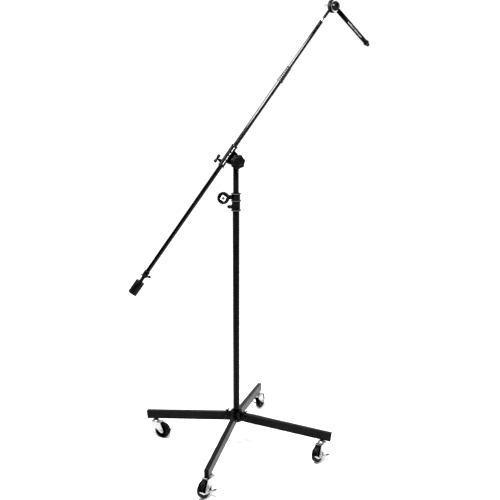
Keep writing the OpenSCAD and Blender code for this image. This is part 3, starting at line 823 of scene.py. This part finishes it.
def safety_pin():
    """The safety pin and its fluted pull head."""
    low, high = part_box("safety_pin")
    at = basis(Vector((0, 0, (low.z + high.z) / 2)), PIN_AXIS, UP)
    grip = fillet([(0, 23.4), (6.8, 23.4), (7.3, 24.6), (8.0, 25.6), (8.0, 32.0), (6.4, 34.6), (3.4, 38.6),
                   (0, 39.2)], 0.9, 3)
    rod = lathe([(0, 12.9), (2.4, 12.9), (3.0, 13.6), (3.0, 24.0), (0, 24.0)], 32)
    put("safety_pin_grip", joined(lathe(grip, 96, fluted(24, 0.5, 5.5, 7.8)), rod), "black_steel", "pin",
        at, ["safety_pin"])


dress("upper_mast", "powder_black")
dress("mast_foot", "bush")
soften("height_collar", "cast_black", "base", 0.6)
collar_rims()
height_knob_frame = basis(KNOB_AT, KNOB_AXIS, UP)
height_knob(height_knob_frame)
knob_label(height_knob_frame)
safety_pin()

# ---------------------------------------------------------------- head and clamp

LOBES = 7
LOBE_TURN = math.radians(12)
LOBE_R = 9
LOBE_OUT = 23.4
LOBED_BASE_R = 28.7


def head_hardware(at):
    """The pivot bolt with its head, the washer behind the head, and the toothed washer under the knob."""
    bolt = joined(
        lathe([(0, -11.9), (4.4, -11.9), (5.0, -11.2), (5.0, 38.2), (4.2, 39.0), (0, 39.0)], 40),
        moved(hex_head(9.0, 4.9, 1.0), shift(z=-9.06) @ spin(180, "X")),
    )
    put("pivot_bolt_body", bolt, "grey_steel", "head", at, ["pivot_bolt"])
    washer_line = [(5.15, 8.1), (21.4, 8.1), (21.95, 8.4), (21.95, 9.1), (21.4, 9.42), (5.15, 9.42)]
    put("head_washer_disc", lathe(washer_line, 72, ring=True), "grey_steel", "head", at,
        ["head_washer"])
    teeth_line = [(5.15, 22.05), (26.4, 22.05), (27.0, 22.4), (27.0, 23.3), (26.4, 23.75), (5.15, 23.75)]
    put("lock_washer_disc", lathe(teeth_line, 180, serrated(36, 0.45, 25), ring=True), "zinc", "clamp",
        at, ["lock_washer"])


def lobed(a):
    """Radius of the lobed knob at an angle, averaged over nearby angles so that its hollows are soft."""
    total, weight = 0.0, 0.0
    for s in range(-4, 5):
        w = 1 - abs(s) / 5
        d = (a + math.radians(1.6 * s) - LOBE_TURN + math.pi / LOBES) % (TAU / LOBES) - math.pi / LOBES
        across = LOBE_OUT * math.sin(d)
        r = LOBED_BASE_R
        if abs(across) < LOBE_R:
            r = max(r, LOBE_OUT * math.cos(d) + math.sqrt(LOBE_R ** 2 - across ** 2))
        total += w * r
        weight += w
    return total / weight


def lobe_shape(r, z, a):
    """Turns round into lobed from the radius 15 mm outwards."""
    part = min(1.0, max(0.0, (r - 15) / 12))
    return r * (1 - part) + part * r * lobed(a) / (LOBE_OUT + LOBE_R)


def pivot_knob():
    """The lobed knob that locks the boom's tilt."""
    profile = fillet([(0, 0.05), (13.6, 0.05), (14.0, 3.2), (30.6, 3.4), (32.3, 6.0), (32.3, 17.5),
                      (29.0, 21.2), (22.5, 22.2), (20.5, 23.8), (16.5, 24.4), (14.5, 22.9),
                      (0, 23.3)], 1.8, 4)
    at = basis(Vector((0, -24 * MM, PIVOT.z)), FRONT, Vector((1, 0, 0)))
    put("pivot_knob_grip", lathe(profile, 252, lobe_shape), "knob_black", "boom_lock", at,
        ["pivot_knob"])


def clamp_strip():
    """The plain strip on the clamp: a dark base with four pale bars."""
    at = basis(PIVOT, FRONT, BOOM_DIR)
    boom_side = shift(y=(BOOM_AXIS_AT - PIVOT).dot(BOOM_UP) / MM)
    base_line = fillet([(-48, -3.15), (42, -3.15), (42, 3.15), (-48, 3.15)], 0.8, 3, True)
    put("clamp_strip_base", moved(prism(base_line, 13.22, 13.42, 0.06, 1), boom_side), "label_dark", "clamp",
        at, ["clamp_strip"])
    bars = []
    for x0, x1 in ((-46, -25), (-21, -3), (2, 14), (19, 41)):
        line = fillet([(x0, -1.3), (x1, -1.3), (x1, 1.3), (x0, 1.3)], 0.8, 3, True)
        bars.append(moved(prism(line, 13.25, 13.78, 0.12, 2), boom_side))
    put("clamp_strip_bars", joined(*bars), "worn_strip", "clamp", at, ["clamp_strip"])


def t_screw():
    """The T screw that locks the boom in its clamp: a waisted bar, a neck and a threaded rod."""
    at = basis(joint_pos("t_screw_turn"), joint_axis("t_screw_turn"), BOOM_DIR) @ shift(z=-20 * MM)
    half = [(4.2, 0), (5.2, 4.5), (6.6, 10), (6.7, 16.8), (5.4, 19), (0, 19)]
    bar_line = fillet([(r, -z) for r, z in half[:0:-1]] + half, 1.6, 4)
    neck_line = fillet([(0, 18.05), (5.6, 18.05), (6.0, 18.5), (6.0, 22.4), (4.4, 23.2), (4.0, 26), (4.0, 31),
                        (0, 31)], 0.5, 3)
    bar = moved(lathe(bar_line, 48), shift(z=32) @ spin(90, "Y"))
    put("t_screw_bar", joined(bar, lathe(neck_line, 40), thread(3.5, 11.5, 1.25, 0.4, 28, 9.7)), "knob_black",
        "slide_lock", at, ["t_screw"])


soften("mast_head", "cast_black", "head", 0.8)
soften("boom_clamp", "cast_black", "clamp", 0.9)
head_hardware(basis(Vector((0, 0, PIVOT.z)), FRONT, UP))
pivot_knob()
clamp_strip()
t_screw()

# ---------------------------------------------------------------- boom


def boom_frame(node):
    """A frame at the low end of a cylinder on the boom's axis, and its radius and length in mm."""
    low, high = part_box(node)
    r = (high.y - low.y) / 2
    length = (high.x - low.x - 2 * r * abs(BOOM_DIR.z)) / abs(BOOM_DIR.x)
    return on_boom((low + high) / 2 - BOOM_DIR * (length / 2)), r / MM, length / MM


def grip_radius(z):
    """Radius of the tapering twist grip at the height z, without its grooves."""
    steps = ((10.0, 12.2), (40.0, 11.6), (70.0, 10.4), (74.0, 9.6))
    for (z0, r0), (z1, r1) in zip(steps, steps[1:]):
        if z <= z1:
            return r0 + (r1 - r0) * (z - z0) / (z1 - z0)
    return steps[-1][1]


def twist_grip():
    """The twist lock grip, with seven grooves round it."""
    groove = ((0.0, 0.0), (0.3, -0.2), (2.0, -2.0), (3.8, -0.2), (4.1, 0.0), (5.5, 0.0), (6.8, 0.0))
    line = [(9.6, 0.3), (12.6, 0.2), (13.4, 0.9), (13.55, 2.2), (13.55, 6.2), (13.2, 7.2), (12.3, 8.2)]
    for k in range(7):
        z = 12.5 + 8.8 * k
        line += [(grip_radius(z + part) + lift, z + part) for part, lift in groove]
    line += [(10.0, 72.2), (9.4, 73.6), (8.15, 73.9), (8.15, 9.6), (9.6, 9.4)]
    put("twist_grip_body", lathe(line, 96, fluted(24, 0.35, 12.9, 13.5), ring=True), "grip_black", "grip",
        on_boom(BOOM_AXIS_AT - BOOM_DIR * 40 * MM), ["twist_grip"])


def ferrule():
    """The bright band at the high end of the inner boom."""
    line = fillet([(8.05, 0.1), (9.5, 0.1), (10.2, 0.9), (10.2, 3.0), (9.8, 3.6), (9.8, 4.4), (10.2, 5.0),
                   (10.2, 10.4), (8.6, 13.8), (4.1, 13.95), (4.1, 9.1), (8.05, 9.0)], 0.3, 2)
    put("ferrule_band", lathe(line, 72, ring=True), "chrome", "inner",
        on_boom(joint_pos("shank_turn") - BOOM_DIR * 14 * MM), ["ferrule"])


def counterweight():
    """The counterweight, with a turned line near each end and a blind bore for its rod."""
    at, r, long = boom_frame("counterweight")
    ends = [(r - 1.2, 0), (r, 1.2), (r, 5.2), (r - 0.5, 5.6), (r - 0.5, 6.2), (r, 6.6)]
    line = [(0, 0)] + ends + [(x, long - z) for x, z in ends[::-1]]
    line += [(8.05, long), (8.05, long - 37.9), (0, long - 37.9)]
    put("counterweight_body", lathe(fillet(line, 0.4, 2), 96), "weight_black", "weight", at,
        ["counterweight"])


dress("outer_boom", "boom_black")
dress("inner_boom", "boom_black")
dress("boom_foot", "bush")
dress("weight_neck", "black_steel")
soften("boom_end", "cast_black", "boom", 0.7)
twist_grip()
ferrule()
counterweight()
soften("wing_screw", "black_steel", "weight_lock", 1.0)

# ---------------------------------------------------------------- clutch and upper arm

DOME_R = 20.5
DOME_HIGH = 20.45
DOME_Z = 9.1

strip_low, strip_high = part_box("arm_strip")
STRIP_AT = (strip_low + strip_high) / 2 - MIC_AT
STRIP_ALONG = STRIP_AT.dot(ARM_DIR)
STRIP_OUT = STRIP_AT - ARM_DIR * STRIP_ALONG
ARM_FRAME = basis(MIC_AT, ARM_DIR, STRIP_OUT)
FLAT_ON_ARM = Matrix(((0, 0, 1, 0), (1, 0, 0, 0), (0, 1, 0, 0), (0, 0, 0, 1)))


def tension_knob():
    """The fluted knob behind the clutch, and its screw."""
    line = fillet([(0, 12.3), (6.6, 12.3), (7.0, 12.8), (7.0, 19.8), (10.9, 20.5), (12.0, 22.0), (12.0, 40.6),
                   (10.2, 43.3), (6.0, 43.9), (0, 43.95)], 0.8, 3)
    rod = lathe([(0, -6.4), (3.4, -6.4), (4.0, -5.9), (4.0, 14.0), (0, 14.0)], 32)
    put("tension_knob_grip", joined(lathe(line, 144, fluted(36, 0.5, 10.5, 11.9)), rod), "chrome",
        "clutch_lock", basis(CLUTCH_AT, -CLUTCH_AXIS, UP), ["tension_knob"])


def clutch_front():
    """The trim ring and the dome on the clutch's front."""
    at = basis(CLUTCH_AT, CLUTCH_AXIS, UP)
    ring_line = fillet([(20.6, 9.1), (24.6, 9.1), (25.0, 9.4), (24.4, 10.05), (23.0, 10.15),
                        (20.6, 10.15)], 0.25, 3)
    put("trim_ring_band", lathe(ring_line, 120, ring=True), "grey_steel", "arm", at, ["trim_ring"])
    turns = [math.radians(a) for a in range(3, 90, 3)]
    dome_line = [(0, DOME_Z), (DOME_R - 0.1, DOME_Z)]
    dome_line += [(DOME_R * math.cos(a), DOME_Z + DOME_HIGH * math.sin(a)) for a in turns]
    dome_line += [(0, DOME_Z + DOME_HIGH)]
    put("dome_cap_shell", lathe(dome_line, 96), "gloss_black", "arm", at, ["dome_cap"])


def arm_strip():
    """The plain strip on the upper arm: a dark backing with pale rails."""
    on_face = shift(STRIP_OUT.length / MM, 0, STRIP_ALONG / MM) @ FLAT_ON_ARM
    rails = []
    for z0, z1, y0, y1 in ((-59.5, -10, -0.7, 1.5), (-3, 33, -0.7, 1.5), (37, 59.5, -0.7, 1.5),
                           (-59.5, 6, -2.7, -2.1)):
        line = fillet([(y0, z0), (y1, z0), (y1, z1), (y0, z1)], 0.5, 2, True)
        rails.append(moved(prism(line, -0.05, 0.34, 0.1, 2), on_face))
    put("arm_strip_rails", joined(*rails), "worn_strip", "arm", ARM_FRAME, ["arm_strip"])
    backing = fillet(rectangle(2.95, 59.9), 0.5, 2, True)
    put("arm_strip_base", moved(prism(backing, -0.36, 0.0, 0.05, 1), on_face), "label_dark", "arm",
        ARM_FRAME, ["arm_strip"])


def mic_stud():
    """The fluted collar at the arm's end, the plug inside the arm and the microphone thread."""
    collar = fillet([(0, -14.9), (12.2, -14.9), (13.0, -14.1), (13.0, -7.8), (12.2, -6.97),
                     (0, -6.97)], 0.5, 3)
    plug = fillet([(0, -28.9), (6.4, -28.9), (7.0, -28.2), (7.0, -15.05), (0, -15.0)], 0.2, 2)
    stud = joined(lathe(collar, 72, fluted(24, 0.4, 12.2, 12.9)), lathe(plug, 40),
                  thread(7.94, 14.0, 0.94, 0.55, 48, -7.0))
    put("mic_stud_thread", stud, "stud_steel", "arm", ARM_FRAME, ["mic_stud"])


soften("clutch_back", "cast_black", "clutch", 0.6, angle=40)
soften("upper_arm", "arm_black", "arm", 0.5, angle=40)
tension_knob()
clutch_front()
arm_strip()
mic_stud()
